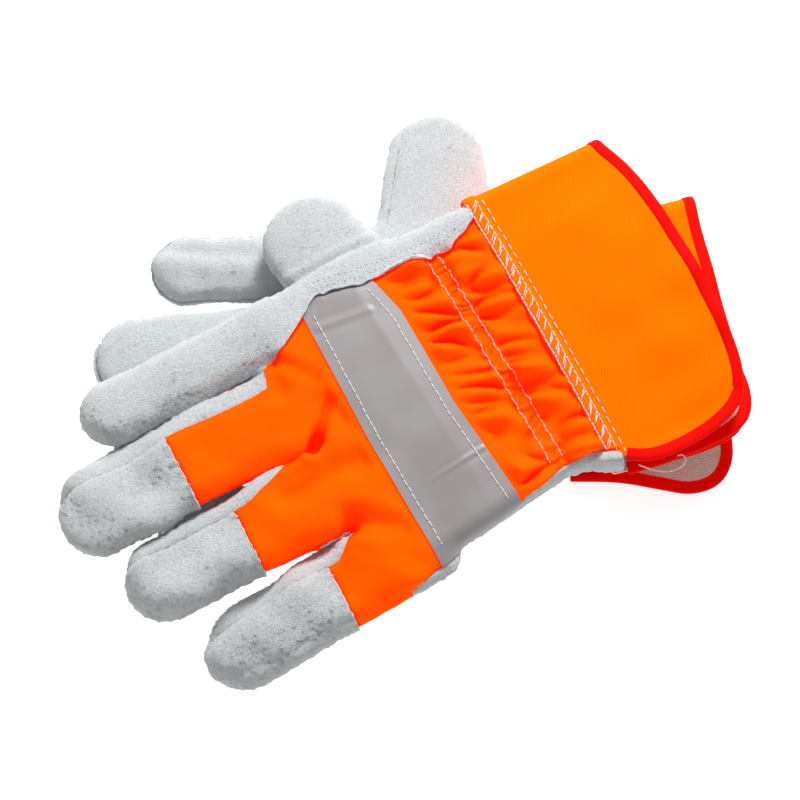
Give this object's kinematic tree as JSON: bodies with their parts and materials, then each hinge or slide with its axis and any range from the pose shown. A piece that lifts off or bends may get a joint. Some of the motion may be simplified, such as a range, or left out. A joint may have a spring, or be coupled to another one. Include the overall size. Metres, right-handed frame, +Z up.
{
  "type": "work gloves",
  "caption": "Pair of leather-palm work gloves with orange cotton backs, grey reflective knuckle tape and stiff open cuffs, stacked palm to palm.",
  "frame": {"origin": "middle of the pair's footprint, on the surface the gloves lie on", "axes": "+X along the upper (left) glove from its fingertips to its cuff, +Y to the thumb side, +Z up"},
  "size_m": [0.2906, 0.2122, 0.0407],
  "materials": {
    "split_leather": "fuzzy light grey split leather",
    "orange_cotton": "matte fluorescent orange cotton drill",
    "orange_cuff_cloth": "matte stiff orange ribbed cloth",
    "red_binding": "matte red-orange tape",
    "reflective_tape": "grey reflective sheen",
    "canvas_lining": "matte cream canvas",
    "elastic": "matte woven elastic",
    "white_thread": "matte thread"
  },
  "bodies": {
    "right_hand": {"right_back_cotton": "orange_cotton", "right_cuff_binding": "red_binding", "right_cuff_lining": "canvas_lining", "right_cuff_seam_band": "orange_cuff_cloth", "right_cuff_shell": "orange_cuff_cloth", "right_index_back_base": "split_leather", "right_index_fourchette_base": "split_leather", "right_index_front_base": "split_leather", "right_little_back": "orange_cotton", "right_little_fourchettes": "split_leather", "right_little_front": "split_leather", "right_little_tip_cap": "split_leather", "right_middle_back": "orange_cotton", "right_middle_fourchettes": "split_leather", "right_middle_front": "split_leather", "right_middle_tip_cap": "split_leather", "right_palm_leather": "split_leather", "right_palm_lining": "canvas_lining", "right_reflective_tape": "reflective_tape", "right_ring_back": "orange_cotton", "right_ring_fourchettes": "split_leather", "right_ring_front": "split_leather", "right_ring_tip_cap": "split_leather", "right_thumb_side_strip": "split_leather", "right_wrist_elastic": "elastic"},
    "right_index_end": {"right_index_back_end": "split_leather", "right_index_fourchette_end": "split_leather", "right_index_front_end": "split_leather"},
    "right_thumb": {"right_thumb_back": "split_leather", "right_thumb_front": "split_leather"},
    "left_hand": {"left_back_cotton": "orange_cotton", "left_palm_leather": "split_leather", "left_palm_lining": "canvas_lining", "left_reflective_tape": "reflective_tape", "left_tape_stitching": "white_thread", "left_thumb_side_strip": "split_leather", "left_wrist_elastic": "elastic", "left_wrist_stitching": "white_thread"},
    "left_index": {"left_index_back": "split_leather", "left_index_fourchette": "split_leather", "left_index_front": "split_leather"},
    "left_middle": {"left_middle_back": "orange_cotton", "left_middle_fourchettes": "split_leather", "left_middle_front": "split_leather", "left_middle_tip_cap": "split_leather"},
    "left_ring": {"left_ring_back": "orange_cotton", "left_ring_fourchettes": "split_leather", "left_ring_front": "split_leather", "left_ring_tip_cap": "split_leather"},
    "left_little": {"left_little_back": "orange_cotton", "left_little_fourchettes": "split_leather", "left_little_front": "split_leather", "left_little_tip_cap": "split_leather"},
    "left_thumb": {"left_thumb_back": "split_leather", "left_thumb_front": "split_leather"},
    "left_cuff": {"left_cuff_binding": "red_binding", "left_cuff_lining": "canvas_lining", "left_cuff_seam_band": "orange_cuff_cloth", "left_cuff_shell": "orange_cuff_cloth", "left_cuff_stitching": "white_thread"}
  },
  "joints": [
    {"name": "left_glove_lift", "type": "slide", "parent": "right_hand", "child": "left_hand", "axis": [0, 0, 1], "range_m": [0, 0.15]},
    {"name": "left_index_bend", "type": "hinge", "parent": "left_hand", "child": "left_index", "pos_m": [-0.0406, 0.04141, 0.0398], "axis": [0, 1, 0], "range_deg": [0, 60]},
    {"name": "left_middle_bend", "type": "hinge", "parent": "left_hand", "child": "left_middle", "pos_m": [-0.0406, 0.00801, 0.0398], "axis": [0, 1, 0], "range_deg": [0, 60]},
    {"name": "left_ring_bend", "type": "hinge", "parent": "left_hand", "child": "left_ring", "pos_m": [-0.0406, -0.02989, 0.0398], "axis": [0, 1, 0], "range_deg": [0, 60]},
    {"name": "left_little_bend", "type": "hinge", "parent": "left_hand", "child": "left_little", "pos_m": [-0.0406, -0.06389, 0.0398], "axis": [0, 1, 0], "range_deg": [0, 60]},
    {"name": "left_thumb_bend", "type": "hinge", "parent": "left_hand", "child": "left_thumb", "pos_m": [0.00555, 0.05156, 0.0348], "axis": [0.997, -0.0772, 0], "range_deg": [0, 50]},
    {"name": "left_wrist_bend", "type": "hinge", "parent": "left_hand", "child": "left_cuff", "pos_m": [0.0563, -0.01739, 0.0398], "axis": [0, -1, 0], "range_deg": [0, 40]},
    {"name": "right_thumb_bend", "type": "hinge", "parent": "right_hand", "child": "right_thumb", "pos_m": [0.057, 0.04762, 0.0145], "axis": [0.8876, -0.4607, 0], "range_deg": [0, 35]},
    {"name": "right_index_bend", "type": "hinge", "parent": "right_hand", "child": "right_index_end", "pos_m": [-0.02821, 0.07825, 0.0195], "axis": [0.518, 0.8554, 0], "range_deg": [0, 60]}
  ]
}
